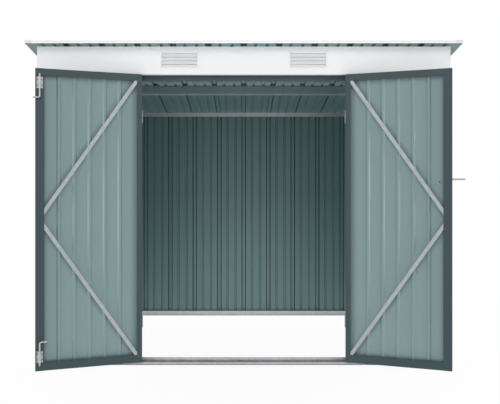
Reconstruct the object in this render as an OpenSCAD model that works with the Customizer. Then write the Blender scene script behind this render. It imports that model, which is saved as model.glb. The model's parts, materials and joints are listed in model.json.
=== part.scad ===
// Metal storage shed with a pent roof, ribbed sheet walls and a pair of braced doors.
// X runs across the doorway, Y from the front to the back, Z up. Millimetres.
// The origin is under the middle of the front base rail. The doors stand open.

/* [Body] */
// Width over the side walls
body_w = 2336; // [1900:1:3000]
// Depth from the front face to the back face
body_d = 1440; // [1100:1:2400]
// Height of the roof sheet's underside over the front face
front_h = 1800; // [1500:1:2200]
// Fall of the roof from the front face to the back face
roof_fall_h = 194; // [60:1:300]
// Height of the fascia
fascia_h = 158; // [110:1:220]

/* [Sheets] */
// Thickness of the ribbed sheets
sheet_t = 0.8; // [0.5:0.1:1.5]
// Distance between the main ribs of the walls
rib_pitch = 195; // [150:1:260]
// Distance between the main ribs of the roof
roof_rib_pitch = 199; // [150:1:260]
// Width of a main rib at its foot
rib_base = 36; // [30:1:44]
// Width of a main rib at its crown
rib_top = 22; // [14:1:28]
// Height of the walls' main ribs
wall_rib_h = 15; // [8:0.5:18]
// Height of the roof's main ribs
roof_rib_h = 15; // [10:0.5:20]
// Width of a small rib at its foot
minor_base = 18; // [12:1:24]
// Width of a small rib at its crown
minor_top = 8; // [3:1:10]
// Height of the small ribs
minor_h = 7; // [2:0.5:9]

/* [Frame] */
// Thickness of folded frame pieces
frame_t = 1.2; // [0.8:0.1:1.6]
// Height of the rails' lip on the outside of a wall
outer_lip = 18; // [12:1:24]
// Height of the base rails' lip on the inside of a wall
inner_lip = 37; // [28:1:45]
// Height of the top rails' inner lips
top_lip = 32; // [20:1:45]
// Leg of a corner post
post_leg = 40; // [30:1:60]
// Width of a door jamb
jamb_w = 50; // [36:1:70]
// Drop of the header's door stop
header_lip = 33; // [18:1:36]
// Depth of the fascia's folded edges
fascia_fold = 25; // [15:1:28]
// Height of the beam under the roof
beam_h = 57; // [40:1:80]
// Width of the beam's flanges
beam_w = 34; // [20:1:50]

/* [Roof] */
// Overhang of the roof past each side wall
side_overhang = 52; // [30:1:80]
// Overhang of the roof past the front face
front_overhang = 50; // [30:1:80]
// Overhang of the roof past the back face
back_overhang = 34; // [20:1:80]
// Width of the roof trim's top flange
trim_flange = 34; // [24:1:44]

/* [Vents] */
// Width of a fascia vent's opening
vent_hole_w = 202; // [140:1:260]
// Height of a fascia vent's opening
vent_hole_h = 82; // [50:1:100]
// Distance of each vent from the middle of the front
vent_x = 364; // [200:1:700]
// Number of louvre blades in a vent
vent_blades = 4; // [3:1:8]

/* [Doors] */
// Clear width between the door jambs
doorway_w = 1158; // [900:1:1400]
// Thickness of a door leaf
leaf_t = 25; // [20:0.5:32]
// Width of the stile beside the hinges
hinge_stile_w = 28; // [24:1:50]
// Width of the stile at the free edge
free_stile_w = 46; // [40:1:60]
// Width of the door's top rail
door_top_w = 38; // [30:1:60]
// Width of the door's bottom rail
door_foot_w = 44; // [30:1:60]
// Angle that the doors stand open from closed
open_angle = 161.7; // [90:0.1:168]
// Distance between the ribs of a door sheet
door_rib_pitch = 81; // [60:1:100]
// Width of a diagonal brace
brace_w = 20; // [14:1:30]
// Half the distance between the braces at the free stile
brace_split = 40; // [25:1:80]

/* [Hinges and bolts] */
// Height of a hinge
hinge_h = 70; // [50:1:100]
// Radius of a hinge knuckle
knuckle_r = 5; // [4:0.1:6]
// Width of a hinge leaf
hinge_leaf_w = 28; // [18:1:34]
// Middle of the lower hinge over the door's lower edge
hinge_low = 225; // [120:1:400]
// Middle of the upper hinge under the door's upper edge
hinge_high = 235; // [120:1:400]
// Radius of a door bolt's rod
bolt_r = 4; // [3:0.1:5]
// Travel of a door bolt
bolt_throw = 28; // [15:1:32]
// Length of a door bolt's rod
bolt_len = 126; // [110:1:150]
// Length of a door bolt's bent handle
bolt_handle = 36; // [25:1:44]
// Height of a door bolt's plate
bolt_plate_h = 60; // [40:1:70]
// Height of the latch on the doors' outside
latch_z = 1046; // [700:1:1300]
// Radius of the latch's rod
latch_r = 5; // [4:0.1:6]
// Reach of the latch past the door's free edge
latch_reach = 65; // [50:1:80]

/* [Hidden] */
$fn = 48;

// Clearances
overrun = 20;          // how far a cut runs past what it cuts
seat_gap = 0.4;        // a sheet's edge to the fold over it
roof_gap = 0.2;        // the roof sheet to what carries it
stop_gap = 5;          // a closed door to the lips that stop it
door_gap = 5;          // one closed door to the other, and to the header
sill_gap = 7;          // a door's lower edge to the outer lip under it
rod_gap = 0.3;         // a sliding rod to its guide
pin_gap = 0.05;        // a hinge pin to its knuckle
knuckle_gap = 0.4;     // a knuckle to the next along the pin

// Rails: walls and closed doors stand inside a folded channel
rail_w = leaf_t + stop_gap + 2 * frame_t;
front_y = -rail_w / 2;
half_w = body_w / 2;
head_h = front_h - fascia_h;
bend_r = 2 * frame_t;  // outside of a fold's round corner
crown_inset = 2 * frame_t;
wall_depth = wall_rib_h + sheet_t;
edge_strip = post_leg + frame_t;
rib_ramp = (rib_base - rib_top) / 2;

// Roof plane
roof_slope = atan(roof_fall_h / body_d);
roof_run = body_d / cos(roof_slope);
roof_w = body_w + 2 * side_overhang;
roof_front = -front_overhang / cos(roof_slope);
roof_back = roof_run + back_overhang / cos(roof_slope);
trim_h = roof_rib_h + sheet_t + roof_gap + frame_t;
cap_t = 1.2;
cap_w = 34;
post_room = frame_t + post_leg + seat_gap;
front_fold_w = body_w - 2 * post_room;
fold_t = frame_t / cos(roof_slope);

// Vents
vent_z = front_h - fascia_h / 2;
vent_rim = 7;
vent_rim_t = 1.5;
vent_w = vent_hole_w + 2 * vent_rim;
vent_h = vent_hole_h + 2 * vent_rim;
blade_pitch = vent_hole_h / vent_blades;
blade_lap = 3;         // a blade's upper edge behind the next blade
blade_t = 1;
blade_tilt = 14;       // from upright, with the lower edge outside
blade_tuck = 2;        // a blade's end behind the rim

// Doors
hinge_gap = 4;
axis_x = doorway_w / 2 - knuckle_r;
axis_y = frame_t - knuckle_r;
leaf_start = hinge_gap;
leaf_end = axis_x - door_gap / 2;
leaf_out = knuckle_r;
leaf_in = knuckle_r + leaf_t;
leaf_w = leaf_end - leaf_start;
leaf_low = outer_lip + sill_gap;
leaf_high = head_h - door_gap;
leaf_h = leaf_high - leaf_low;
panel_in = bend_r + seat_gap;
door_rib_base = 26;
door_rib_top = 10;
door_rib_h = 7;
door_rib_side = 2;     // ribs on each side of the middle one
brace_t = 3;
brace_tuck = 12;       // a brace's end under the free stile's fold
brace_tip_tuck = 4;    // a brace's round end under the folds at the hinge corner

// Hinges, bolts and latch
pin_share = 0.6;
pin_r = pin_share * knuckle_r;
hinge_leaf_t = 1.5;
hinge_neck = knuckle_r + hinge_leaf_t;
hinge_zs = [leaf_low + hinge_low, leaf_high - hinge_high];
knuckle_h = hinge_h / 3;
bolt_plate_t = 1.5;
bolt_plate_w = 32;
bolt_wall = 3;
bolt_lip_gap = 1;      // a bolt's rod to the lip that it locks behind
bolt_lift = 18;        // the drawn lower bolt over the inner lip
bolt_drop = 5.4;       // the drawn upper bolt under the header's lip
bolt_stand = rail_w - leaf_t - frame_t + bolt_r + bolt_lip_gap;
bolt_tip_low = inner_lip + bolt_lift;
bolt_tip_high = head_h + 2 * frame_t - header_lip - bolt_drop;
bolt_tip_over = 16;    // the rod's tip past its plate
bolt_bend_r = 10;
bolt_u = leaf_end - free_stile_w / 2;
latch_wall = 3.5;
latch_stand = latch_r + latch_wall + hinge_leaf_t;
latch_loop_w = 15;
latch_play = 3;
latch_knob_r = 4;
latch_knob_h = 24;
latch_plate_w = 2 * latch_loop_w + 2 * latch_knob_r + latch_reach + 2 * latch_play;
latch_plate_h = 34;
latch_edge = 6;        // the plate's end to the door's free edge
latch_tail = 10;
keeper_edge = 28;

// Colours
sheet_colour = "#8a9c9c";
frame_colour = "#46525a";
zinc_colour = "#a9abae";
trim_colour = "#f0f1f2";

// Helpers

function roof_z(y) = front_h - y * tan(roof_slope);

module from_front() {
  translate([0, front_y, 0]) children();
}

// An outline in Y and Z, drawn out along X about the middle
module along_x(length) {
  rotate([90, 0, 90])
    translate([0, 0, -length / 2])
      linear_extrude(length) children();
}

// The round corner of a fold about the origin, in the first quadrant
module bend() {
  intersection() {
    difference() {
      circle(r = bend_r);
      circle(r = bend_r - frame_t);
    }
    square(bend_r);
  }
}

// A folded angle's outline: its corner at the origin, a web along X and a leg along Y
module angle_outline(web, leg) {
  translate([bend_r, bend_r]) rotate(180) bend();
  translate([bend_r, 0]) square([web - bend_r, frame_t]);
  translate([0, bend_r]) square([frame_t, leg - bend_r]);
}

// A folded channel's outline: a web along X with a leg along Y at each end
module channel_outline(web, leg) {
  angle_outline(web - bend_r, leg);
  translate([web, 0]) mirror([1, 0]) angle_outline(2 * bend_r, leg);
}

// An upright channel with its web at X = 0 and its legs towards +X
module upright_channel(web, leg, height) {
  linear_extrude(height) mirror([1, -1]) channel_outline(web, leg);
}

// The roof plane: local Y runs down the slope, local Z is zero under the roof sheet
module on_roof() {
  translate([0, 0, front_h]) rotate([-roof_slope, 0, 0]) children();
}

// The roof sheet's own plane, just over the pieces that carry it
module over_roof() {
  from_front() on_roof() translate([0, 0, roof_gap]) children();
}

module mirrored(side) {
  if (side > 0) mirror([1, 0, 0]) children();
  else children();
}

// Everything under the roof plane, less a clearance
module under_roof(clearance) {
  difference() {
    children();
    on_roof()
      translate([-roof_w, roof_front - overrun, -clearance])
        cube([2 * roof_w, roof_back - roof_front + 2 * overrun, front_h]);
  }
}

function rib_points(middle, foot, crown, low, high) = [
  [middle - foot / 2, low], [middle - crown / 2, high],
  [middle + crown / 2, high], [middle + foot / 2, low]
];

// Main ribs at every pitch with two small ribs between them, within a half width
function ribs(pitch, reach, pan, crown, minor) = let (
    step = pitch / 3,
    last = floor((reach - rib_base / 2) / step)
  ) [
    for (i = [-last:last])
      for (p = i % 3 == 0
          ? rib_points(i * step, rib_base, rib_top, pan, crown)
          : rib_points(i * step, minor_base, minor_top, pan, minor)) p
  ];

function thick(points) = concat(
  points, [for (i = [len(points) - 1:-1:0]) points[i] + [0, sheet_t]]);

// A wall sheet: X along the wall, Y inwards from the ribs' crowns, edges at crown level
module wall_sheet(width, height) {
  reach = width / 2 - edge_strip - rib_ramp;
  left_edge = [[-width / 2, 0], [-reach - rib_ramp, 0], [-reach, wall_rib_h]];
  right_edge = [[reach, wall_rib_h], [reach + rib_ramp, 0], [width / 2, 0]];
  linear_extrude(height)
    polygon(thick(concat(
      left_edge, ribs(rib_pitch, reach, wall_rib_h, 0, wall_rib_h - minor_h), right_edge)));
}

// Base and top rails

// A channel along X with its outer side at Y = 0 and its inner lip cut short at the ends
module channel(length, inner_length, outer_h, inner_h) {
  along_x(length) angle_outline(rail_w - bend_r, outer_h);
  along_x(inner_length)
    translate([rail_w, 0]) mirror([1, 0]) angle_outline(2 * bend_r, inner_h);
}

module base_rail_front() {
  color(zinc_colour) from_front()
    channel(body_w, body_w - 2 * rail_w, outer_lip, inner_lip);
}

module base_rail_back() {
  color(zinc_colour) from_front()
    translate([0, body_d, 0]) rotate([0, 0, 180])
      channel(body_w, body_w - 2 * rail_w, outer_lip, inner_lip);
}

module base_rail_side(side) {
  length = body_d - 2 * (rail_w - bend_r);
  color(zinc_colour) mirrored(side) from_front()
    translate([-half_w, body_d / 2, 0]) rotate([0, 0, -90])
      channel(length, length, outer_lip, inner_lip);
}

module top_rail_side(side) {
  start = fascia_fold / cos(roof_slope) + top_lip * tan(roof_slope) + seat_gap;
  length = (body_d - rail_w) / cos(roof_slope) - start;
  color(zinc_colour) mirrored(side) from_front() on_roof()
    translate([-half_w, start + length / 2, 0])
      rotate([0, 0, -90]) mirror([0, 0, 1])
        channel(length, length, outer_lip, top_lip);
}

module top_rail_back() {
  inside = body_d - rail_w;
  color(zinc_colour) from_front() {
    along_x(body_w) polygon([
      [inside, roof_z(inside)], [body_d, roof_z(body_d)],
      [body_d, roof_z(body_d) - outer_lip],
      [body_d - frame_t, roof_z(body_d) - outer_lip],
      [body_d - frame_t, roof_z(body_d - frame_t) - fold_t],
      [inside, roof_z(inside) - fold_t]
    ]);
    along_x(body_w - 2 * rail_w) polygon([
      [inside, roof_z(inside)], [inside + frame_t, roof_z(inside + frame_t)],
      [inside + frame_t, roof_z(inside) - top_lip], [inside, roof_z(inside) - top_lip]
    ]);
  }
}

// Posts, jambs and header

module corner_post(side, at_back) {
  top = roof_z(at_back ? body_d : frame_t + post_leg) - bend_r / cos(roof_slope);
  color(frame_colour) mirrored(side) from_front()
    translate([-half_w + frame_t, at_back ? body_d - frame_t : frame_t, bend_r])
      mirror([0, at_back ? 1 : 0, 0])
        linear_extrude(top - bend_r) angle_outline(post_leg, post_leg);
}

// A channel that opens towards the front panel
module door_jamb(side) {
  color(frame_colour) mirrored(side) from_front()
    translate([-doorway_w / 2, frame_t, bend_r]) mirror([1, 0, 0])
      upright_channel(rail_w - 2 * frame_t, jamb_w, head_h - bend_r);
}

// An angle on the fascia's lower fold, with its lip down behind the doors
module door_header() {
  color(frame_colour) from_front()
    along_x(front_fold_w)
      translate([rail_w, head_h + 2 * frame_t]) rotate(180)
        angle_outline(rail_w - bend_r, header_lip);
}

// Walls

module front_panel(side) {
  outer = half_w - frame_t - bend_r;
  inner = doorway_w / 2 + bend_r + seat_gap;
  color(sheet_colour) mirrored(side) from_front()
    translate([-(outer + inner) / 2, crown_inset, frame_t])
      wall_sheet(outer - inner, head_h - frame_t - seat_gap);
}

module side_wall(side) {
  start = crown_inset + wall_depth + seat_gap;
  color(sheet_colour) mirrored(side) from_front()
    under_roof(frame_t + seat_gap)
      translate([-half_w + crown_inset, body_d / 2, frame_t])
        rotate([0, 0, -90]) wall_sheet(body_d - 2 * start, front_h);
}

module back_wall() {
  height = roof_z(body_d) - fold_t - seat_gap - frame_t;
  color(sheet_colour) from_front()
    translate([0, body_d - crown_inset, frame_t]) rotate([0, 0, 180])
      wall_sheet(body_w - 2 * (frame_t + bend_r), height);
}

// Fascia and vents

module fascia() {
  cut_w = vent_hole_w + 2 * (blade_tuck + seat_gap);
  color(trim_colour) from_front() difference() {
    union() {
      along_x(body_w) polygon([
        [0, head_h + bend_r], [0, roof_z(0)], [fascia_fold, roof_z(fascia_fold)],
        [fascia_fold, roof_z(fascia_fold) - fold_t], [frame_t, roof_z(frame_t) - fold_t],
        [frame_t, head_h + bend_r]
      ]);
      along_x(front_fold_w)
        translate([0, head_h]) angle_outline(fascia_fold, 2 * bend_r);
      for (end = [-1, 1]) {
        translate([end * (half_w - post_room / 2), 0, head_h])
          along_x(post_room) square([frame_t, 2 * bend_r]);
        translate([end * (half_w - frame_t / 2), 0, 0])
          along_x(frame_t) polygon([
            [0, head_h], [0, roof_z(0)],
            [fascia_fold, roof_z(fascia_fold)], [fascia_fold, head_h]
          ]);
      }
    }
    for (end = [-1, 1])
      translate([end * vent_x - cut_w / 2, -overrun, vent_z - vent_hole_h / 2])
        cube([cut_w, overrun + frame_t + seat_gap, vent_hole_h]);
  }
}

module vent(side) {
  blade_h = (blade_pitch + blade_lap) / cos(blade_tilt);
  color(trim_colour) mirrored(side) from_front()
    translate([-vent_x, -vent_rim_t, vent_z]) {
      difference() {
        translate([-vent_w / 2, 0, -vent_h / 2]) cube([vent_w, vent_rim_t, vent_h]);
        translate([-vent_hole_w / 2, -overrun, -vent_hole_h / 2])
          cube([vent_hole_w, vent_rim_t + 2 * overrun, vent_hole_h]);
      }
      for (i = [0:vent_blades - 1])
        translate([-vent_hole_w / 2 - blade_tuck, 0, i * blade_pitch - vent_hole_h / 2])
          rotate([-blade_tilt, 0, 0])
            cube([vent_hole_w + 2 * blade_tuck, blade_t, blade_h]);
    }
}

// Roof

module roof_beam() {
  length = body_w - 2 * rail_w;
  start = roof_run / 2;
  color(sheet_colour) from_front() on_roof()
    along_x(length)
      translate([start, -beam_h]) mirror([1, -1]) channel_outline(beam_h, beam_w);
}

module roof_sheet() {
  half = roof_w / 2 - bend_r;
  inner = ribs(roof_rib_pitch, half - trim_flange, 0, roof_rib_h, minor_h);
  color(sheet_colour) over_roof()
    translate([0, roof_back - bend_r, 0]) rotate([90, 0, 0])
      linear_extrude(roof_back - roof_front - 2 * bend_r)
        polygon(thick(concat([[-half, 0]], inner, [[half, 0]])));
}

// An edge trim along X: its face at Y = 0 and its flange over the ribs' crowns
module roof_trim(length) {
  along_x(length)
    translate([0, trim_h]) mirror([0, 1]) angle_outline(trim_flange, trim_h);
}

module roof_trim_front() {
  color(trim_colour) over_roof()
    translate([0, roof_front, 0]) roof_trim(roof_w);
}

module roof_trim_back() {
  color(trim_colour) over_roof()
    translate([0, roof_back, 0]) rotate([0, 0, 180]) roof_trim(roof_w);
}

module roof_trim_sides() {
  length = roof_back - roof_front - 2 * trim_flange;
  color(trim_colour) over_roof()
    for (end = [-1, 1])
      translate([end * roof_w / 2, (roof_front + roof_back) / 2, 0])
        rotate([0, 0, end * 90]) roof_trim(length);
}

// Caps over the trims' corners, open below and towards the roof
module roof_corner_caps() {
  out = roof_gap + cap_t;
  color(trim_colour) over_roof()
    for (side = [-1, 1])
      for (end = [0, 1])
        translate([0, end * (roof_front + roof_back), 0]) mirror([0, end, 0]) mirrored(side)
          translate([-roof_w / 2, roof_front, 0]) difference() {
            translate([-out, -out, 0]) cube([out + cap_w, out + cap_w, trim_h + out]);
            translate([-roof_gap, -roof_gap, -overrun])
              cube([2 * cap_w, 2 * cap_w, overrun + trim_h + roof_gap]);
          }
}

// Doors: X runs from the hinge axis to the free edge, Y from the outside to the inside

module hung(side) {
  mirrored(side) from_front()
    translate([-axis_x, axis_y, 0]) rotate([0, 0, -open_angle]) children();
}

module at_jamb(side) {
  mirrored(side) from_front() translate([-axis_x, axis_y, 0]) children();
}

module door_stiles(side) {
  color(frame_colour) hung(side) {
    translate([leaf_start, leaf_out, leaf_low])
      upright_channel(leaf_t, hinge_stile_w, leaf_h);
    translate([leaf_end, leaf_out, leaf_low]) mirror([1, 0, 0])
      upright_channel(leaf_t, free_stile_w, leaf_h);
  }
}

// A folded channel with its web below and its folds upwards
module door_rail(width) {
  length = leaf_w - hinge_stile_w - free_stile_w;
  translate([leaf_start + hinge_stile_w + length / 2, leaf_out, 0])
    along_x(length) channel_outline(leaf_t, width);
}

module door_rails(side) {
  color(frame_colour) hung(side) {
    translate([0, 0, leaf_low]) door_rail(door_foot_w);
    translate([0, 0, leaf_high]) mirror([0, 0, 1]) door_rail(door_top_w);
  }
}

// The ribbed sheet stands inside the frame's channels, against their outer folds
module door_panel(side) {
  half = leaf_w / 2 - panel_in;
  points = concat(
    [[-half, 0]],
    [for (i = [-door_rib_side:door_rib_side])
      for (p = rib_points(i * door_rib_pitch, door_rib_base, door_rib_top, 0, door_rib_h)) p],
    [[half, 0]]);
  color(sheet_colour) hung(side)
    translate([leaf_start + leaf_w / 2, leaf_out + frame_t, leaf_low + panel_in])
      linear_extrude(leaf_h - 2 * panel_in) polygon(thick(points));
}

// A diagonal strip with a round end, along X and down from the hinge corner of the opening
// to the free stile's fold, and on under that fold
module brace(opening) {
  inset = brace_w / 2 - brace_tip_tuck;
  run = leaf_w - hinge_stile_w - free_stile_w - inset;
  drop = opening - inset - brace_split;
  slant = atan(drop / run);
  reach = sqrt(run * run + drop * drop) + brace_tuck / cos(slant);
  translate([leaf_start + hinge_stile_w + inset, leaf_in - frame_t - brace_t, -inset])
    rotate([0, slant, 0]) {
      translate([0, 0, -brace_w / 2]) cube([reach, brace_t, brace_w]);
      rotate([-90, 0, 0]) cylinder(r = brace_w / 2, h = brace_t);
    }
}

module door_braces(side) {
  top = leaf_high - door_top_w;
  foot = leaf_low + door_foot_w;
  half = (top - foot) / 2;
  color(zinc_colour) hung(side) {
    translate([0, 0, top]) brace(half);
    translate([0, 0, foot]) mirror([0, 0, 1]) brace(half);
  }
}

// Hinges: the axis is the local Z axis and the leaves lie at the frame's outer face

module hinge_plate(z_low, z_high) {
  translate([hinge_neck, leaf_out - hinge_leaf_t, -hinge_h / 2])
    cube([hinge_leaf_w - hinge_neck, hinge_leaf_t, hinge_h]);
  translate([0, leaf_out - hinge_leaf_t, z_low])
    cube([hinge_neck, hinge_leaf_t, z_high - z_low]);
}

module door_hinges(side) {
  half = knuckle_h / 2 - knuckle_gap;
  color(zinc_colour) hung(side)
    for (z = hinge_zs)
      translate([0, 0, z]) difference() {
        union() {
          hinge_plate(-half, half);
          translate([0, 0, -half]) cylinder(r = knuckle_r, h = 2 * half);
        }
        translate([0, 0, -hinge_h]) cylinder(r = pin_r + pin_gap, h = 2 * hinge_h);
      }
}

module jamb_hinges(side) {
  color(zinc_colour) at_jamb(side)
    for (z = hinge_zs)
      translate([0, 0, z]) {
        for (end = [0, 1])
          mirror([0, 0, end]) mirror([1, 0, 0]) {
            hinge_plate(knuckle_h / 2, hinge_h / 2);
            translate([0, 0, knuckle_h / 2]) cylinder(r = knuckle_r, h = knuckle_h);
          }
        translate([0, 0, -hinge_h / 2]) cylinder(r = pin_r, h = hinge_h);
      }
}

// Door bolts: the rod's tip is at the origin and points up, its handle bends towards +X

module bolt_rod() {
  straight = bolt_len - bolt_bend_r;
  translate([0, 0, -straight]) cylinder(r = bolt_r, h = straight);
  translate([bolt_bend_r, 0, -straight]) rotate([90, 0, 0])
    rotate([0, 0, 180]) rotate_extrude(angle = 90)
      translate([bolt_bend_r, 0]) circle(r = bolt_r);
  translate([bolt_bend_r, 0, -bolt_len]) rotate([0, 90, 0])
    cylinder(r = bolt_r, h = bolt_handle - bolt_bend_r);
}

// A guide that stands on the leaf, with the rod's axis along local Z
module bolt_guide(length, width, stand, rod_r, wall, plate_t) {
  difference() {
    union() {
      translate([-width / 2, -stand, 0]) cube([width, plate_t, length]);
      translate([-rod_r - wall, -stand, 0]) cube([2 * (rod_r + wall), stand, length]);
      cylinder(r = rod_r + wall, h = length);
    }
    translate([0, 0, -overrun]) cylinder(r = rod_r + rod_gap, h = length + 2 * overrun);
  }
}

module at_upper_bolt() {
  translate([bolt_u, leaf_in + bolt_stand, bolt_tip_high]) children();
}

module at_lower_bolt() {
  translate([bolt_u, leaf_in + bolt_stand, bolt_tip_low]) rotate([0, 180, 0]) children();
}

module bolt_housing() {
  translate([0, 0, -bolt_tip_over - bolt_plate_h])
    bolt_guide(bolt_plate_h, bolt_plate_w, bolt_stand, bolt_r, bolt_wall, bolt_plate_t);
}

module bolt_housings() {
  color(zinc_colour) hung(-1) {
    at_upper_bolt() bolt_housing();
    at_lower_bolt() bolt_housing();
  }
}

module upper_bolt() {
  color(zinc_colour) hung(-1) at_upper_bolt() bolt_rod();
}

module lower_bolt() {
  color(zinc_colour) hung(-1) at_lower_bolt() bolt_rod();
}

// Latch on the outside: local Z runs along the rod towards the free edge, Y out of the leaf

module at_latch(along) {
  translate([along, leaf_out - latch_stand, latch_z])
    rotate([0, 90, 0]) mirror([0, 1, 0]) children();
}

module latch_loop() {
  bolt_guide(latch_loop_w, latch_plate_h, latch_stand, latch_r, latch_wall, hinge_leaf_t);
}

module latch_housing() {
  start = leaf_end - latch_edge - latch_plate_w;
  color(zinc_colour) hung(1) at_latch(start) {
    latch_loop();
    translate([0, 0, latch_plate_w - latch_loop_w]) latch_loop();
    translate([-latch_plate_h / 2, -latch_stand, 0])
      cube([latch_plate_h, hinge_leaf_t, latch_plate_w]);
  }
}

module latch_bolt() {
  start = leaf_end - latch_edge - latch_plate_w - latch_tail;
  length = leaf_end + latch_reach - start;
  knob = latch_tail + latch_plate_w - latch_loop_w - latch_play - latch_knob_r;
  color(zinc_colour) hung(1) at_latch(start) {
    cylinder(r = latch_r, h = length);
    translate([0, 0, knob]) rotate([-90, 0, 0])
      cylinder(r = latch_knob_r, h = latch_knob_h);
  }
}

module latch_keeper() {
  color(zinc_colour) hung(-1)
    at_latch(leaf_end - keeper_edge - latch_loop_w) latch_loop();
}

base_rail_front();
base_rail_back();
base_rail_side(-1);  // base_rail_left
base_rail_side(1);  // base_rail_right
corner_post(-1, false);  // corner_post_front_left
corner_post(1, false);  // corner_post_front_right
corner_post(-1, true);  // corner_post_back_left
corner_post(1, true);  // corner_post_back_right
door_jamb(-1);  // door_jamb_left
door_jamb(1);  // door_jamb_right
door_header();
front_panel(-1);  // front_panel_left
front_panel(1);  // front_panel_right
side_wall(-1);  // side_wall_left
side_wall(1);  // side_wall_right
back_wall();
fascia();
vent(-1);  // vent_left
vent(1);  // vent_right
top_rail_side(-1);  // top_rail_left
top_rail_side(1);  // top_rail_right
top_rail_back();
roof_beam();
roof_sheet();
roof_trim_front();
roof_trim_back();
roof_trim_sides();
roof_corner_caps();
jamb_hinges(-1);  // jamb_hinges_left
jamb_hinges(1);  // jamb_hinges_right
door_stiles(-1);  // left_door_stiles
door_rails(-1);  // left_door_rails
door_panel(-1);  // left_door_panel
door_braces(-1);  // left_door_braces
door_hinges(-1);  // left_door_hinges
bolt_housings();
latch_keeper();
upper_bolt();
lower_bolt();
door_stiles(1);  // right_door_stiles
door_rails(1);  // right_door_rails
door_panel(1);  // right_door_panel
door_braces(1);  // right_door_braces
door_hinges(1);  // right_door_hinges
latch_housing();
latch_bolt();
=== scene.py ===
"""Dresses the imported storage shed: camera, studio, paints and metals, and its small fittings."""

import json
import math

import bpy
from mathutils import Matrix, Vector


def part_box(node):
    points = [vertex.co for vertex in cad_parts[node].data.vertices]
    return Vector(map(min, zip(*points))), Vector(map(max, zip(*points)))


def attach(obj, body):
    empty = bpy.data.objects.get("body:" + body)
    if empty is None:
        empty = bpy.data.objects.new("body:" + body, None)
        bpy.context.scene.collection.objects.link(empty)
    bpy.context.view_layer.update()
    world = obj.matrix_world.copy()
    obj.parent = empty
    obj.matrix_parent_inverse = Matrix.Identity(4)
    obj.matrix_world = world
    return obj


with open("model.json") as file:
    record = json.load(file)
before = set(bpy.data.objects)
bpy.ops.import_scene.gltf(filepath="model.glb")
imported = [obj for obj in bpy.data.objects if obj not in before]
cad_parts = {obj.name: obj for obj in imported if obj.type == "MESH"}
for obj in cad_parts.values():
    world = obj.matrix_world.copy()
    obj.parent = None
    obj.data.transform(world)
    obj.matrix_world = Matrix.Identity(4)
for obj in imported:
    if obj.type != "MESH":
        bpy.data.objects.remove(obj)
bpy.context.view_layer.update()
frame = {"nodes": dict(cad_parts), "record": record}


# Units, sides and directions
MM = 0.001
LEFT, RIGHT = -1, 1
TO_LEFT = (-1, 0, 0)
TO_RIGHT = (1, 0, 0)
TO_FRONT = (0, -1, 0)
TO_BACK = (0, 1, 0)
UPWARD = (0, 0, 1)

# Camera, in metres and in pixels of the photograph's frame
IMAGE_W_PX = 500
IMAGE_MIDDLE_PX = (250.0, 202.0)
VANISHING_PX = (243.8, 193.0)
FOCAL_PX = 615.4
SENSOR_MM = 36
CAMERA_AWAY = 3.477
CAMERA_HEIGHT = 0.9726


# Shader values


class Value:
    """A node's output. Operators on it add Math nodes to its tree."""

    def __init__(self, tree, socket):
        self.tree = tree
        self.socket = socket

    def _math(self, operation, first, second):
        node = self.tree.nodes.new("ShaderNodeMath")
        node.operation = operation
        for socket, operand in zip(node.inputs, (first, second)):
            if isinstance(operand, Value):
                self.tree.links.new(operand.socket, socket)
            else:
                socket.default_value = operand
        return Value(self.tree, node.outputs[0])

    def __add__(self, other):
        return self._math("ADD", self, other)

    def __sub__(self, other):
        return self._math("SUBTRACT", self, other)

    def __rsub__(self, other):
        return self._math("SUBTRACT", other, self)

    def __mul__(self, other):
        return self._math("MULTIPLY", self, other)

    __radd__ = __add__
    __rmul__ = __mul__

    def above(self, other):
        """The larger of two values."""
        return self._math("MAXIMUM", self, other)


def shade(colour, factor):
    """A colour made lighter or darker, with full alpha."""
    return tuple(min(1.0, channel * factor) for channel in colour) + (1,)


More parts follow.
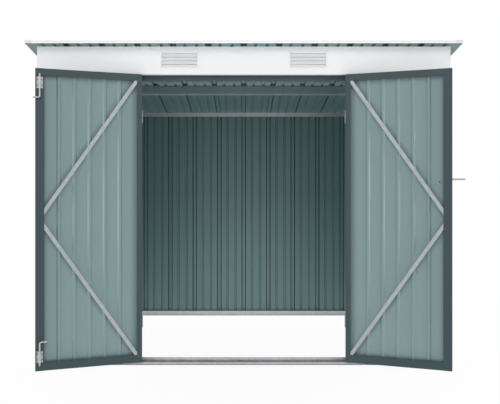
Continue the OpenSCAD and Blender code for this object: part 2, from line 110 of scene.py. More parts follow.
class Finish:
    """The node tree of a material or a world, with one method that makes any node."""

    def __init__(self, block):
        self.block = block
        self.block.use_nodes = True
        self.tree = self.block.node_tree
        self.tree.nodes.clear()

    def node(self, kind, settings=None, inputs=None, output=0):
        node = self.tree.nodes.new(kind)
        for key, setting in (settings or {}).items():
            setattr(node, key, setting)
        for key, given in (inputs or {}).items():
            socket = node.inputs[key]
            if isinstance(given, Value):
                self.tree.links.new(given.socket, socket)
            else:
                socket.default_value = given
        return Value(self.tree, node.outputs[output])

    def places(self, scale=(1, 1, 1)):
        """Object coordinates, stretched along each axis."""
        raw = self.node("ShaderNodeTexCoord", output="Object")
        return self.node("ShaderNodeMapping", {}, {"Vector": raw, "Scale": scale})

    def noise(self, size, detail, stretch=(1, 1, 1)):
        """Soft noise about one half, with features of a size in metres."""
        inputs = {"Vector": self.places(stretch), "Scale": 1 / size, "Detail": detail}
        return self.node("ShaderNodeTexNoise", {}, inputs)

    def blend(self, share, first, second):
        """A colour between two colours."""
        inputs = {0: share, 6: first, 7: second}
        return self.node("ShaderNodeMix", {"data_type": "RGBA"}, inputs, output=2)

    def toned(self, tone, colour, spread):
        """A colour that a tone makes darker or lighter, by up to a spread."""
        return self.blend(tone, shade(colour, 1 - spread), shade(colour, 1 + spread))

    def rise(self, given, low, high):
        """Nought below a low value, one above a high one, and smooth between."""
        inputs = {"Value": given, "From Min": low, "From Max": high}
        return self.node("ShaderNodeMapRange", {"interpolation_type": "SMOOTHSTEP"}, inputs)

    def height(self):
        """Height over the ground."""
        return self.node("ShaderNodeSeparateXYZ", {}, {"Vector": self.places()}, output="Z")

    def facing(self, direction):
        """How far a surface faces a direction, from -1 to 1."""
        normal = self.node("ShaderNodeTexCoord", output="Normal")
        inputs = {0: normal, 1: direction}
        return self.node("ShaderNodeVectorMath", {"operation": "DOT_PRODUCT"}, inputs, output="Value")

    def bump(self, height, depth, strength=1.0, normal=None):
        """A normal that a height tips, on top of another normal where one is given."""
        inputs = {"Height": height, "Distance": depth, "Strength": strength}
        if normal is not None:
            inputs["Normal"] = normal
        return self.node("ShaderNodeBump", {}, inputs)

    def end(self, shader, surface="ShaderNodeOutputMaterial"):
        """Links a shader to the output and gives the finished material or world."""
        last = self.tree.nodes.new(surface)
        self.tree.links.new(shader.socket, last.inputs["Surface"])
        return self.block


# Finishes: each pattern has its size in metres, its levels of detail and any stretch along the axes

# Sheet paint
SHEET_CLOUD = (0.35, 3.0)
SHEET_STREAK = (0.03, 2.0, (1, 1, 0.03))
SHEET_CLOUD_SHARE = 0.6
SHEET_GLOSS_PATCH = (0.08, 4.0)
SHEET_GLOSS_SPREAD = 0.12
SHEET_SLACK = (0.16, 1.0)
SHEET_SLACK_DEPTH = 0.25 * MM
SHEET_PEEL = (1.2 * MM, 2.0)
SHEET_PEEL_DEPTH = 0.02 * MM
SHEET_PEEL_STRENGTH = 0.4

# How far a surface faces out of its sheet, where the inner coat's painted shade begins, and square to the
# front, where a vent's colour changes
OUTER_FACE = (-0.05, 0.05)
SQUARE_FACE = (0.98, 0.995)

# Inner coat, darker than the outer as painted shade inside the shed: the squared leans that mark out any
# rib's flank and a main rib's, and how far each darkens as painted shade
FLANK_LEAN = (0.12, 0.36)
FLANK_SHADE_SHARE = 0.15
MAIN_FLANK_LEAN = (0.70, 0.80)
MAIN_FLANK_SHADE_SHARE = 0.5
FLANK_SHADE_TONE = 0.2

# Painted contact shade at the foot of the sheets, where they meet their rails, and of the rails, where
# they meet the ground; it fades out between two heights
WALL_FOOT = (36 * MM, 60 * MM)
DOOR_FOOT = (66 * MM, 84 * MM)
RAIL_FOOT = (2 * MM, 7 * MM)
FOOT_SHADE_GRAIN = (0.05, 4.0)
FOOT_SHADE_SHARE = 0.35
FOOT_SHADE_SPREAD = 0.3
FOOT_SHADE_TONE = 0.4
RAIL_SHADE_SHARE = 0.75
RAIL_SHADE_TONE = 0.3

# Frame paint
FRAME_CLOUD = (0.2, 4.0)
FRAME_CLOUD_SPREAD = 0.1
FRAME_GLOSS_PATCH = (0.05, 3.0)
FRAME_GLOSS_SPREAD = 0.16
FRAME_PEEL = (2.5 * MM, 2.0)
FRAME_PEEL_DEPTH = 0.05 * MM
FRAME_PEEL_STRENGTH = 0.5

# Zinc
ZINC_CLOUD = (0.12, 4.0)
ZINC_CRYSTAL_SHARE = 0.45
ZINC_SPREAD = 0.14
ZINC_GLOSS_SPREAD = 0.1
ZINC_METALLIC = 0.65
ZINC_SCRATCH = (4 * MM, 3.0, (0.06, 1, 1))
ZINC_SCRATCH_DEPTH = 0.03 * MM
ZINC_SCRATCH_STRENGTH = 0.35

# Colours
SAGE = (0.171, 0.254, 0.256)
# Inner coat of the walls and roof: darker and greener, painted shade of the shed's inside
SAGE_PAINTED_SHADE = (0.140, 0.240, 0.243)
# Pale inner coat of the roof's lap: painted light on the pans seen before the beam
LAP_PAINTED_LIGHT = (0.295, 0.39, 0.39)
BEAM_GREY = (0.27, 0.34, 0.355)
SLATE = (0.022, 0.044, 0.050)
BLUE_SLATE = (0.026, 0.044, 0.062)
ZINC = (0.42, 0.425, 0.44)
# Lighter zincs of the back rails: painted light inside the shed, and a painted highlight along the top
# rail's fold
ZINC_PAINTED_LIGHT = (0.53, 0.54, 0.55)
ZINC_PAINTED_HIGHLIGHT = (0.61, 0.645, 0.665)
BLUE_ZINC = (0.355, 0.39, 0.405)
DARK_ZINC = (0.27, 0.275, 0.285)
SCREW_GREY = (0.16, 0.165, 0.17)
WHITE = (0.83, 0.84, 0.85)
# Grey of the white louvre's blades: painted shade on them
LOUVRE_PAINTED_SHADE = (0.67, 0.68, 0.685)
# Grey of the white roof trims' corner caps: painted shade on their ends
CAP_PAINTED_SHADE = (0.72, 0.73, 0.735)


def coil_coat(name, colour, spread=0.05, gloss=0.42, shine=0.7, painted_shade_inside=None, foot=None, rim=None):
    """Factory paint on rolled steel: cloudy tone, faint rolling streaks, slack in the flats and painted
    shade at the foot, where a sheet meets its rail. A sheet's painted inner shade is a darker inner
    coat, which is darker still on the ribs' flanks as painted shade. A vent's rim is the colour of the
    faces that are square to the front."""
    finish = Finish(bpy.data.materials.new(name))
    cloud = finish.noise(*SHEET_CLOUD)
    streak = finish.noise(*SHEET_STREAK)
    tone = cloud * SHEET_CLOUD_SHARE + streak * (1 - SHEET_CLOUD_SHARE)
    base = finish.toned(tone, colour, spread)
    # Inner faces take a darker coat as painted shade of the shed's inside, darker still on the ribs'
    # flanks
    if painted_shade_inside:
        outward, across, back = painted_shade_inside
        lean = finish.facing(across)
        rib_shade = finish.rise(lean * lean, *FLANK_LEAN) * FLANK_SHADE_SHARE
        rib_shade += finish.rise(lean * lean, *MAIN_FLANK_LEAN) * MAIN_FLANK_SHADE_SHARE
        shaded_coat = finish.toned(tone, back, spread)
        shaded_coat = finish.blend(rib_shade, shaded_coat, shade(back, FLANK_SHADE_TONE))
        base = finish.blend(finish.rise(finish.facing(outward), *OUTER_FACE), shaded_coat, base)
    # Faces square to the front take the rim's colour; the blades keep the given colour, painted shade for
    # the louvre
    if rim:
        square = finish.rise(finish.facing(TO_FRONT), *SQUARE_FACE)
        base = finish.blend(square, base, shade(rim, 1))
    # Painted contact shade, darker towards the foot where a sheet meets its rail
    if foot:
        low_down = 1 - finish.rise(finish.height(), *foot)
        foot_shade = low_down * (FOOT_SHADE_SHARE + finish.noise(*FOOT_SHADE_GRAIN) * FOOT_SHADE_SPREAD)
        base = finish.blend(foot_shade, base, shade(colour, FOOT_SHADE_TONE))
    patches = finish.noise(*SHEET_GLOSS_PATCH)
    rough = gloss - SHEET_GLOSS_SPREAD / 2 + patches * SHEET_GLOSS_SPREAD
    slack = finish.bump(finish.noise(*SHEET_SLACK), SHEET_SLACK_DEPTH)
    peel = finish.bump(finish.noise(*SHEET_PEEL), SHEET_PEEL_DEPTH, SHEET_PEEL_STRENGTH, slack)
    shader = finish.node("ShaderNodeBsdfPrincipled", {}, {
        "Base Color": base, "Roughness": rough, "Normal": peel, "Specular IOR Level": shine,
    })
    return finish.end(shader)


def wall_coat(name, outward, across):
    """Sage paint for a wall that faces outward, with its ribs set across, an inner coat of painted shade
    and painted contact shade at its foot.
    """
    return coil_coat(name, SAGE, painted_shade_inside=(outward, across, SAGE_PAINTED_SHADE), foot=WALL_FOOT)


def white_coat(name, colour, **settings):
    """An even, less shiny paint for the white trims."""
    return coil_coat(name, colour, spread=0.012, shine=0.4, **settings)


def powder_coat(name, colour, gloss=0.5):
    """Powder paint on folded steel: a fine orange peel and slightly worn tone."""
    finish = Finish(bpy.data.materials.new(name))
    base = finish.toned(finish.noise(*FRAME_CLOUD), colour, FRAME_CLOUD_SPREAD)
    patches = finish.noise(*FRAME_GLOSS_PATCH)
    rough = gloss - FRAME_GLOSS_SPREAD / 2 + patches * FRAME_GLOSS_SPREAD
    peel = finish.bump(finish.noise(*FRAME_PEEL), FRAME_PEEL_DEPTH, FRAME_PEEL_STRENGTH)
    shader = finish.node("ShaderNodeBsdfPrincipled", {}, {
        "Base Color": base, "Roughness": rough, "Normal": peel,
    })
    return finish.end(shader)


def galvanised(name, colour, gloss=0.42, spangle=14 * MM, foot=None):
    """Zinc-coated steel: dull crystals of slightly different tone and gloss, and painted contact shade at
    the foot.
    """
    finish = Finish(bpy.data.materials.new(name))
    cells = finish.node(
        "ShaderNodeTexVoronoi", {"feature": "F1"},
        {"Vector": finish.places(), "Scale": 1 / spangle, "Randomness": 1.0}, output="Color")
    crystal = finish.node("ShaderNodeSeparateColor", {}, {"Color": cells}, output=0)
    cloud = finish.noise(*ZINC_CLOUD)
    tone = crystal * ZINC_CRYSTAL_SHARE + cloud * (1 - ZINC_CRYSTAL_SHARE)
    base = finish.toned(tone, colour, ZINC_SPREAD)
    # Painted contact shade, darker towards the foot where the rail meets the ground
    if foot:
        rail_shade = (1 - finish.rise(finish.height(), *foot)) * RAIL_SHADE_SHARE
        base = finish.blend(rail_shade, base, shade(colour, RAIL_SHADE_TONE))
    rough = gloss - ZINC_GLOSS_SPREAD + (crystal + cloud) * ZINC_GLOSS_SPREAD
    scratch = finish.bump(finish.noise(*ZINC_SCRATCH), ZINC_SCRATCH_DEPTH, ZINC_SCRATCH_STRENGTH)
    shader = finish.node("ShaderNodeBsdfPrincipled", {}, {
        "Base Color": base, "Roughness": rough, "Metallic": ZINC_METALLIC, "Normal": scratch,
    })
    return finish.end(shader)


FINISHES = {
    "sheet": wall_coat("sage_sheet", TO_BACK, TO_RIGHT),
    "front": wall_coat("sage_front", TO_FRONT, TO_RIGHT),
    "left_side": wall_coat("sage_left_side", TO_LEFT, TO_BACK),
    "right_side": wall_coat("sage_right_side", TO_RIGHT, TO_BACK),
    "roof": coil_coat("sage_roof", SAGE, painted_shade_inside=(UPWARD, TO_RIGHT, SAGE_PAINTED_SHADE)),
    "leaf": coil_coat("sage_leaf", SAGE, foot=DOOR_FOOT),
    "beam": coil_coat("grey_beam", BEAM_GREY),
    # The lap's pale underside is painted light, and its ribs' flanks painted shade
    "lap": coil_coat("lap_painted_light", SAGE, painted_shade_inside=(UPWARD, TO_RIGHT, LAP_PAINTED_LIGHT)),
    "frame": powder_coat("slate_frame", SLATE),
    "header": powder_coat("blue_slate_header", BLUE_SLATE),
    "zinc": galvanised("galvanised_steel", ZINC),
    "rail": galvanised("galvanised_rail", ZINC, foot=RAIL_FOOT),
    # The back rails' lighter zincs are painted light inside the shed, and a painted highlight on the top
    # rail
    "back_rail": galvanised("galvanised_back_rail_painted_light", ZINC_PAINTED_LIGHT, foot=RAIL_FOOT),
    "top_rail": galvanised("galvanised_top_rail_painted_highlight", ZINC_PAINTED_HIGHLIGHT),
    "brace": galvanised("galvanised_brace", BLUE_ZINC),
    "hinge": galvanised("galvanised_hinge", DARK_ZINC),
    "screw": galvanised("dull_screw", SCREW_GREY, spangle=4 * MM),
    "trim": white_coat("white_trim", WHITE, gloss=0.38),
    # The louvre's blades take a painted shade grey, and only its rim the trims' white
    "louvre": white_coat("louvre_painted_shade", LOUVRE_PAINTED_SHADE, rim=WHITE),
    # The corner caps take a grey that is painted shade on the white trims' ends
    "cap": white_coat("cap_painted_shade", CAP_PAINTED_SHADE),
}
OWN_FINISH = {
    "front_panel_left": "front",
    "front_panel_right": "front",
    "side_wall_left": "left_side",
    "side_wall_right": "right_side",
    "left_door_panel": "leaf",
    "right_door_panel": "leaf",
    "roof_sheet": "roof",
    "roof_beam": "beam",
    "jamb_hinges_left": "hinge",
    "jamb_hinges_right": "hinge",
    "left_door_hinges": "hinge",
    "right_door_hinges": "hinge",
    "door_header": "header",
    "base_rail_front": "rail",
    "base_rail_left": "rail",
    "base_rail_right": "rail",
    "base_rail_back": "back_rail",
    "top_rail_back": "top_rail",
    "left_door_braces": "brace",
    "right_door_braces": "brace",
    "vent_left": "louvre",
    "vent_right": "louvre",
    "roof_corner_caps": "cap",
}


# CAD nodes take the finish of their material slot, or a shade of it of their own, some of which are
# painted shade or painted light

for row in frame["record"]["subparts"]:
    node = frame["nodes"][row["node"]]
    finish_name = OWN_FINISH.get(row["node"], row["material_slot"])
    node.data.materials.clear()
    node.data.materials.append(FINISHES[finish_name])


# Fittings: the roof's lap, and screws, rivets and a nut, each modelled once and copied to its places

# Heads and nut: steps are shares of a radius and a height, and edges past an angle stay sharp
HEAD_SIDES = 12
HEAD_STRAIGHT = 0.6
HEAD_SHOULDER = (0.3, 0.3)
HEAD_DOME = (0.35, 0.1)
HEAD_SHARP_DEG = 50
NUT_SIDES = 6
NUT_BEVEL = (0.18, 0.08)
NUT_FACE = 0.78
BOLT_BEVEL = (0.25, 0.15)
NUT_SHARP_DEG = 30

# Walls, posts and jambs
WALL_RIB_PITCH = 195 * MM
LIP_H = 18 * MM
FRAME_T = 1.2 * MM
POST_LEG = 40 * MM
POST_SCREWS = 5
SCREW_OVER_GROUND = 120 * MM
POST_SCREW_UNDER_TOP = 200 * MM
JAMB_SCREW_UNDER_TOP = 120 * MM
JAMB_SCREW_ASIDE = 35 * MM

# Roof: a rib's foot, crown and height, and the heights of heads over the roof's plane
ROOF_RIB_PITCH = 199 * MM
ROOF_RIB = (36 * MM, 22 * MM, 15 * MM)
ROOF_SMALL_RIB = (18 * MM, 8 * MM, 7 * MM)
ROOF_SCREW_UP = 16 * MM
TRIM_RIVET_UP = 17.2 * MM
TRIM_FLANGE = 34 * MM
TRIM_RIVETS = 5
TRIM_RIVET_FROM_CORNER = 136 * MM
FASCIA_FOLD = 25 * MM
LAP = 80 * MM
LAP_T = 0.8 * MM

# Doors: across from the hinges, inward from the hinges' plane, and up from the ground
LEAF_OUT = 5 * MM
LEAF_IN = 30 * MM
PANEL_IN = 7 * MM
PLATE_T = 1.5 * MM
HINGE_H = 70 * MM
HINGE_SCREW_ACROSS = 18 * MM
HINGE_SCREW_APART = 44 * MM
BOLT_ACROSS = 548.5 * MM
BOLT_PLATE_H = 60 * MM
BOLT_SCREW_ASIDE = 11.5 * MM
BOLT_SCREW_APART = 30 * MM
LATCH_Z = 1046 * MM
LATCH_EARS = (464 * MM, 558 * MM)
KEEPER_ACROSS = 536 * MM
EAR_APART = 25.4 * MM
LATCH_NUT_ACROSS = 506 * MM
LATCH_NUT_Z = 1032 * MM
BRACE_RIVET_ACROSS = 38 * MM
BRACE_RIVETS_Z = (75 * MM, 1593 * MM)
BRACE_FACE = 28.8 * MM
CORNER_RIVETS_ACROSS = (16 * MM, 548 * MM)
CORNER_RIVETS_Z = (36 * MM, 56 * MM, 1612 * MM, 1626 * MM)

# Places read from the frame
FRONT_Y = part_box("base_rail_front")[0].y
BACK_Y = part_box("base_rail_back")[1].y
SIDE_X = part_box("base_rail_right")[1].x
DOOR_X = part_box("door_jamb_right")[0].x
JAMB_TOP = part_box("door_jamb_right")[1].z
ROOF_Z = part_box("fascia")[1].z
BACK_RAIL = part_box("top_rail_back")
SLOPE = math.atan((ROOF_Z - BACK_RAIL[1].z) / (BACK_RAIL[0].y - FRONT_Y))
ROOF_NORMAL = Vector((0, math.sin(SLOPE), math.cos(SLOPE)))
DOWNHILL = Vector((0, math.cos(SLOPE), -math.sin(SLOPE)))
JOINTS = {row["name"]: row for row in frame["record"]["behaviour"]["joints"]}
SWING = JOINTS["left_door_swing"]
HINGE_X = abs(SWING["pos_m"][0])
HINGE_Y = SWING["pos_m"][1]
OPEN_BY = math.radians(SWING["range_deg"][1])


def deselect():
    bpy.ops.object.select_all(action="DESELECT")


def pick_top(piece):
    """Goes into edit mode with the faces of a piece selected that look up."""
    for face in piece.data.polygons:
        face.select = face.normal.z > 0.5
    bpy.ops.object.mode_set(mode="EDIT")
    bpy.ops.mesh.select_mode(type="FACE")


def pick_right_edge(piece, middle_x):
    """Goes into edit mode with the edge of a piece selected that lies to the right of its middle."""
    bpy.ops.object.mode_set(mode="EDIT")
    bpy.ops.mesh.select_mode(type="EDGE")
    bpy.ops.mesh.select_all(action="DESELECT")
    bpy.ops.object.mode_set(mode="OBJECT")
    for edge in piece.data.edges:
        edge.select = all(piece.data.vertices[i].co.x > middle_x for i in edge.vertices)
    bpy.ops.object.mode_set(mode="EDIT")


def draw_out(step):
    """Extrudes what is selected by a step."""
    bpy.ops.mesh.extrude_region_move(TRANSFORM_OT_translate={"value": tuple(step)})


def draw_in(shares, radius, height):
    """Narrows the selected top and lifts it, by shares of a radius and a height."""
    bpy.ops.mesh.inset(thickness=shares[0] * radius, depth=shares[1] * height)


def blank(name, sides, radius, height):
    """A prism that stands on the ground, in edit mode with its top selected."""
    deselect()
    bpy.ops.mesh.primitive_cylinder_add(
        vertices=sides, radius=radius, depth=height, location=(0, 0, height / 2))
    piece = bpy.context.object
    piece.name = name
    bpy.ops.object.transform_apply(location=True, rotation=True, scale=True)
    pick_top(piece)
    return piece


def smooth_off(sharp_deg):
    """Leaves edit mode and smooths all edges but the sharp ones."""
    bpy.ops.object.mode_set(mode="OBJECT")
    bpy.ops.object.shade_smooth_by_angle(angle=math.radians(sharp_deg))


def round_head(name, foot_r, foot_h, head_r, head_h):
    """A head on its washer or flange, standing up from the surface that it holds."""
    head = blank(name, HEAD_SIDES, foot_r, foot_h)
    bpy.ops.mesh.inset(thickness=foot_r - head_r)
    draw_out((0, 0, HEAD_STRAIGHT * head_h))
    draw_in(HEAD_SHOULDER, head_r, head_h)
    draw_in(HEAD_DOME, head_r, head_h)
    smooth_off(HEAD_SHARP_DEG)
    return head


def bolt_end(name, nut_r, nut_h, end_r, end_h):
    """A six-sided nut with the end of its bolt through it."""
    end = blank(name, NUT_SIDES, nut_r, nut_h)
    draw_in(NUT_BEVEL, nut_r, nut_h)
    bpy.ops.mesh.inset(thickness=NUT_FACE * nut_r - end_r)
    draw_out((0, 0, end_h))
    draw_in(BOLT_BEVEL, end_r, end_r)
    smooth_off(NUT_SHARP_DEG)
    return end


def seat(place, normal):
    """Where a head sits on a surface, standing along the surface's normal."""
    turn = Vector(normal).to_track_quat("Z", "Y").to_matrix().to_4x4()
    return Matrix.Translation(place) @ turn


def dress(piece, body, finish):
    """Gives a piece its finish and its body."""
    piece.data.materials.clear()
    piece.data.materials.append(FINISHES[finish])
    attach(piece, body)


def set_out(master, name, body, slot, places, finish=None):
    """Copies a head to its places on one body and joins the copies."""
    deselect()
    for place in places:
        copy = master.copy()
        copy.data = master.data.copy()
        copy.matrix_world = place
        bpy.context.scene.collection.objects.link(copy)
        copy.select_set(True)
        bpy.context.view_layer.objects.active = copy
    if len(places) > 1:
        bpy.ops.object.join()
    piece = bpy.context.object
    bpy.ops.object.transform_apply(location=True, rotation=True, scale=True)
    piece.name = name
    dress(piece, body, finish or slot)


def about(middle, pitch, reach):
    """Places at a pitch to both sides of a middle, within a reach of it."""
    count = math.floor(reach / pitch)
    return [middle + i * pitch for i in range(-count, count + 1)]


def between(low, high, count):
    """Evenly spaced places from a low one to a high one."""
    return [low + (high - low) * i / (count - 1) for i in range(count)]


def roof_z(y):
    """The height of the roof's plane."""
    return ROOF_Z - (y - FRONT_Y) * math.tan(SLOPE)


def down_slope(y):
    """How far down the roof's slope a place is from the front wall."""
    return (y - FRONT_Y) / math.cos(SLOPE)


def on_roof(x, along, above):
    """A point of the roof, from the front wall along the slope and above its plane."""
    return Vector((x, FRONT_Y, ROOF_Z)) + along * DOWNHILL + above * ROOF_NORMAL


def over_roof(x, along, above):
    """A head's place over the roof."""
    return seat(on_roof(x, along, above), ROOF_NORMAL)


def on_leaf(side, across, inward, height, outside=False):
    """A head's place on an open door, from its hinges across it and inward through it."""
    away = Vector((-side * math.cos(OPEN_BY), -math.sin(OPEN_BY), 0))
    through = Vector((-side * math.sin(OPEN_BY), math.cos(OPEN_BY), 0))
    hinge = Vector((side * HINGE_X, HINGE_Y, height))
    return seat(hinge + across * away + inward * through, -through if outside else through)


def rail_screws():
    """Screws along the base and top rails, at the sheets' ribs."""
    half_lip = LIP_H / 2
    side_middle = (FRONT_Y + BACK_Y) / 2
    low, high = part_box("front_panel_right")
    places = []
    for x in about(0, WALL_RIB_PITCH, SIDE_X - POST_LEG):
        for z in (half_lip, roof_z(BACK_Y) - half_lip):
            places.append(seat((x, BACK_Y, z), TO_BACK))
    for side in (LEFT, RIGHT):
        for x in about((low.x + high.x) / 2, WALL_RIB_PITCH, (high.x - low.x) / 2 - POST_LEG):
            places.append(seat((side * x, FRONT_Y, half_lip), TO_FRONT))
        for y in about(side_middle, WALL_RIB_PITCH, side_middle - FRONT_Y - POST_LEG):
            for z in (half_lip, roof_z(y) - half_lip):
                places.append(seat((side * SIDE_X, y, z), (side, 0, 0)))
    return places


def post_screws():
    """Screws up both legs of the corner posts, and up the door jambs."""
    inset = FRAME_T + POST_LEG / 2
    ends = ((FRONT_Y, -1, ROOF_Z), (BACK_Y, 1, roof_z(BACK_Y)))
    places = []
    for side in (LEFT, RIGHT):
        for end_y, outward, top in ends:
            for z in between(SCREW_OVER_GROUND, top - POST_SCREW_UNDER_TOP, POST_SCREWS):
                on_end = (side * (SIDE_X - inset), end_y - outward * FRAME_T, z)
                on_side = (side * (SIDE_X - FRAME_T), end_y - outward * inset, z)
                places += [seat(on_end, (0, outward, 0)), seat(on_side, (side, 0, 0))]
        for z in between(SCREW_OVER_GROUND, JAMB_TOP - JAMB_SCREW_UNDER_TOP, POST_SCREWS):
            on_jamb = (side * (DOOR_X + JAMB_SCREW_ASIDE), FRONT_Y + FRAME_T, z)
            places.append(seat(on_jamb, TO_FRONT))
    return places


def roof_screws():
    """Screws through the roof's rib crowns into the fascia, the beam and the back rail."""
    low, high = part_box("roof_beam")
    beam = down_slope((low.y + high.y) / 2)
    lines = (FASCIA_FOLD / 2, beam, down_slope(BACK_Y) - FASCIA_FOLD / 2)
    ribs = about(0, ROOF_RIB_PITCH, SIDE_X)
    return [over_roof(x, along, ROOF_SCREW_UP) for x in ribs for along in lines]


def rib_line(low_x, high_x):
    """The section of a roof sheet: points across the roof and above its plane."""
    ribs = (ROOF_RIB, ROOF_SMALL_RIB, ROOF_SMALL_RIB)
    step = ROOF_RIB_PITCH / len(ribs)
    count = math.floor((high_x - ROOF_RIB[0] / 2) / step)
    line = [(low_x, 0)]
    for i in range(-count, count + 1):
        foot, crown, rib_h = ribs[i % len(ribs)]
        line += [(i * step - foot / 2, 0), (i * step - crown / 2, rib_h)]
        line += [(i * step + crown / 2, rib_h), (i * step + foot / 2, 0)]
    line.append((high_x, 0))
    return line


def roof_lap():
    """The front end of the rear roof sheets, ribbed alike and lapped under the front ones before
    the beam: a first pan, drawn out sideways along the section and then down to its thickness."""
    low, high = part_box("roof_beam")
    line = [Vector((x, 0, 0)) + above * ROOF_NORMAL for x, above in rib_line(low.x, high.x)]
    pan_w = line[1].x - line[0].x
    middle = on_roof(line[0].x + pan_w / 2, down_slope(low.y) - LAP / 2, 0)
    deselect()
    bpy.ops.mesh.primitive_plane_add(size=LAP, location=middle, rotation=(-SLOPE, 0, 0))
    lap = bpy.context.object
    lap.name = "roof_lap"
    lap.scale.x = pan_w / LAP
    bpy.ops.object.transform_apply(location=True, rotation=True, scale=True)
    pick_right_edge(lap, middle.x)
    for here, there in zip(line[1:], line[2:]):
        draw_out(there - here)
    bpy.ops.mesh.select_all(action="SELECT")
    draw_out(-LAP_T * ROOF_NORMAL)
    bpy.ops.mesh.select_all(action="SELECT")
    bpy.ops.mesh.normals_make_consistent(inside=False)
    bpy.ops.object.mode_set(mode="OBJECT")
    return lap


def trim_rivets():
    """Painted rivets along the roof's edge trims."""
    low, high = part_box("roof_trim_front")
    edge_x = high.x - TRIM_FLANGE / 2
    front = down_slope(low.y + TRIM_FLANGE / 2)
    back = down_slope(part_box("roof_trim_back")[1].y - TRIM_FLANGE / 2)
    ribs = about(0, ROOF_RIB_PITCH, SIDE_X)
    sides = between(front + TRIM_RIVET_FROM_CORNER, back - TRIM_RIVET_FROM_CORNER, TRIM_RIVETS)
    places = [over_roof(x, along, TRIM_RIVET_UP) for x in ribs for along in (front, back)]
    for side in (LEFT, RIGHT):
        places += [over_roof(side * edge_x, along, TRIM_RIVET_UP) for along in sides]
    return places


def hinge_screw_heights():
    """Heights of the two screws through each half of a door's two hinges."""
    low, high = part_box("left_door_hinges")
    middles = (low.z + HINGE_H / 2, high.z - HINGE_H / 2)
    return [z + up * HINGE_SCREW_APART / 2 for z in middles for up in (-1, 1)]


def jamb_hinge_screws(side):
    """Screws through the jamb's half of a door's hinges."""
    x = side * (HINGE_X + HINGE_SCREW_ACROSS)
    y = FRONT_Y + FRAME_T - PLATE_T
    return [seat((x, y, z), TO_FRONT) for z in hinge_screw_heights()]


def door_hinge_screws(side):
    """Screws through the door's half of its hinges."""
    inward = LEAF_OUT - PLATE_T
    return [on_leaf(side, HINGE_SCREW_ACROSS, inward, z, outside=True) for z in hinge_screw_heights()]


def bolt_screws():
    """Four screws round each of the two bolt housings on the left door."""
    low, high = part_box("bolt_housings")
    middles = (low.z + BOLT_PLATE_H / 2, high.z - BOLT_PLATE_H / 2)
    return [
        on_leaf(LEFT, BOLT_ACROSS + aside, LEAF_IN + PLATE_T, z + up)
        for z in middles
        for aside in (-BOLT_SCREW_ASIDE, BOLT_SCREW_ASIDE)
        for up in (-BOLT_SCREW_APART / 2, BOLT_SCREW_APART / 2)
    ]


def ear_screws(side, across):
    """Screws above and below a rod, through the ears of its guide."""
    return [
        on_leaf(side, across, LEAF_OUT - PLATE_T, LATCH_Z + up, outside=True)
        for up in (-EAR_APART / 2, EAR_APART / 2)
    ]


def leaf_rivets(side):
    """Rivets at a door's corners outside, and at its braces' tips inside."""
    places = [
        on_leaf(side, across, LEAF_OUT, z, outside=True)
        for across in CORNER_RIVETS_ACROSS for z in CORNER_RIVETS_Z
    ]
    places += [on_leaf(side, BRACE_RIVET_ACROSS, BRACE_FACE, z) for z in BRACE_RIVETS_Z]
    return places


wall_screw = round_head("wall_screw", foot_r=6.5 * MM, foot_h=0.8 * MM, head_r=4.2 * MM, head_h=2.6 * MM)
plate_screw = round_head("plate_screw", foot_r=3.6 * MM, foot_h=0.5 * MM, head_r=3.2 * MM, head_h=1.4 * MM)
rivet = round_head("rivet", foot_r=4.0 * MM, foot_h=0.5 * MM, head_r=2.6 * MM, head_h=1.0 * MM)
nut = bolt_end("nut", nut_r=4.4 * MM, nut_h=3.0 * MM, end_r=2.4 * MM, end_h=2.5 * MM)

jamb_screws = jamb_hinge_screws(LEFT) + jamb_hinge_screws(RIGHT)
left_screws = door_hinge_screws(LEFT) + bolt_screws() + ear_screws(LEFT, KEEPER_ACROSS)
right_screws = door_hinge_screws(RIGHT)
for ear in LATCH_EARS:
    right_screws += ear_screws(RIGHT, ear)
nut_place = on_leaf(RIGHT, LATCH_NUT_ACROSS, PANEL_IN, LATCH_NUT_Z)

dress(roof_lap(), "shed", "lap")
set_out(wall_screw, "wall_screws", "shed", "zinc", rail_screws() + post_screws())
set_out(wall_screw, "roof_screws", "shed", "zinc", roof_screws())
set_out(rivet, "trim_rivets", "shed", "trim", trim_rivets())
set_out(plate_screw, "jamb_hinge_screws", "shed", "zinc", jamb_screws, "screw")
set_out(plate_screw, "left_door_screws", "left_door", "zinc", left_screws, "screw")
set_out(plate_screw, "right_door_screws", "right_door", "zinc", right_screws, "screw")
set_out(rivet, "left_door_rivets", "left_door", "zinc", leaf_rivets(LEFT))
set_out(rivet, "right_door_rivets", "right_door", "zinc", leaf_rivets(RIGHT))
# The nut takes the dark slate frame paint as painted shade, for a bolt's end that sits in shade
set_out(nut, "latch_nut", "right_door", "frame", [nut_place])
for master in (wall_screw, plate_screw, rivet, nut):
    bpy.data.objects.remove(master)


# Studio: a white floor that keeps a faint shadow, a white world and soft lamps

FLOOR_HALF = 60.0
FLOOR_GREY = (0.9, 0.9, 0.9, 1)
LIGHT_WHITE = (1, 1, 1, 1)
SHADOW_SHARE = 0.07
SHADOW_REACH = 3.0
WORLD_LIGHT = 0.35


def seen_directly(finish):
    """One for rays from the camera, a mirror or glass."""
    kinds = ("Is Camera Ray", "Is Glossy Ray", "Is Transmission Ray")
    camera, glossy, through = (finish.node("ShaderNodeLightPath", output=k) for k in kinds)
    return camera.above(glossy).above(through)


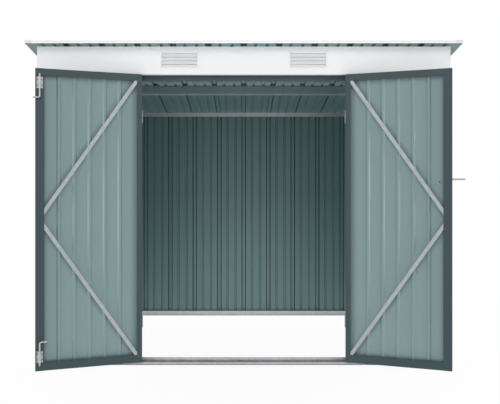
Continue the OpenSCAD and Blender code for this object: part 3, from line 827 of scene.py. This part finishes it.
def studio_floor():
    """A floor that looks white, but for a share near the part that shows its shadow."""
    deselect()
    bpy.ops.mesh.primitive_plane_add(size=2 * FLOOR_HALF, location=(0, 0, 0))
    floor = bpy.context.object
    floor.name = "studio_floor"
    finish = Finish(bpy.data.materials.new("studio_floor"))
    matt = finish.node("ShaderNodeBsdfDiffuse", {}, {"Color": FLOOR_GREY})
    glow = finish.node("ShaderNodeEmission", {}, {"Color": LIGHT_WHITE, "Strength": 1.0})
    near = finish.node(
        "ShaderNodeTexGradient", {"gradient_type": "QUADRATIC_SPHERE"},
        {"Vector": finish.places((1 / SHADOW_REACH,) * 3)})
    share = seen_directly(finish) * (1 - near * SHADOW_SHARE)
    mixed = finish.node("ShaderNodeMixShader", {}, {0: share, 1: matt, 2: glow})
    floor.data.materials.append(finish.end(mixed))


def studio_world():
    """A world that looks white and lights more softly."""
    world = bpy.data.worlds.new("studio")
    bpy.context.scene.world = world
    finish = Finish(world)
    strength = WORLD_LIGHT + seen_directly(finish) * (1 - WORLD_LIGHT)
    sky = finish.node("ShaderNodeBackground", {}, {"Color": LIGHT_WHITE, "Strength": strength})
    finish.end(sky, "ShaderNodeOutputWorld")


def soft_lamp(name, place, aim, size, power, mirrored=True):
    """A lamp that only lights, and shows in gloss where it is mirrored."""
    lamp = bpy.data.lights.new(name, "AREA")
    lamp.shape = "RECTANGLE"
    lamp.size, lamp.size_y = size
    lamp.energy = power
    holder = bpy.data.objects.new(name, lamp)
    bpy.context.scene.collection.objects.link(holder)
    holder.location = place
    holder.rotation_euler = (Vector(aim) - Vector(place)).to_track_quat("-Z", "Y").to_euler()
    holder.visible_camera = False
    holder.visible_glossy = mirrored


def photo_camera():
    """The photograph's camera, level and looking straight back, with its frame shifted."""
    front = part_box("fascia")[0].y
    camera = bpy.data.objects.new("camera", bpy.data.cameras.new("camera"))
    bpy.context.scene.collection.objects.link(camera)
    camera.location = (0, front - CAMERA_AWAY, CAMERA_HEIGHT)
    camera.rotation_euler = (math.radians(90), 0, 0)
    camera.data.sensor_width = SENSOR_MM
    camera.data.lens = FOCAL_PX * SENSOR_MM / IMAGE_W_PX
    camera.data.shift_x = (IMAGE_MIDDLE_PX[0] - VANISHING_PX[0]) / IMAGE_W_PX
    camera.data.shift_y = (VANISHING_PX[1] - IMAGE_MIDDLE_PX[1]) / IMAGE_W_PX
    bpy.context.scene.camera = camera


studio_floor()
studio_world()
soft_lamp("front_lamp", (0, -13.5, 11.5), aim=(0, 0, 0.9), size=(11.0, 8.0), power=900)
soft_lamp("left_lamp", (-12, -6, 1.2), aim=(0, 0, 1.4), size=(4.0, 2.0), power=550)
soft_lamp("right_lamp", (12, -6, 1.2), aim=(0, 0, 1.4), size=(4.0, 2.0), power=550)
soft_lamp("floor_glow", (0, -0.3, 0.02), aim=(0, -0.3, 1.0), size=(3.6, 3.6), power=19, mirrored=False)
soft_lamp("doorway_glow", (0, 0.3, 0.02), aim=(0, 0.3, 1.0), size=(1.0, 0.8), power=3, mirrored=False)
photo_camera()

bpy.context.scene.view_settings.view_transform = "Standard"
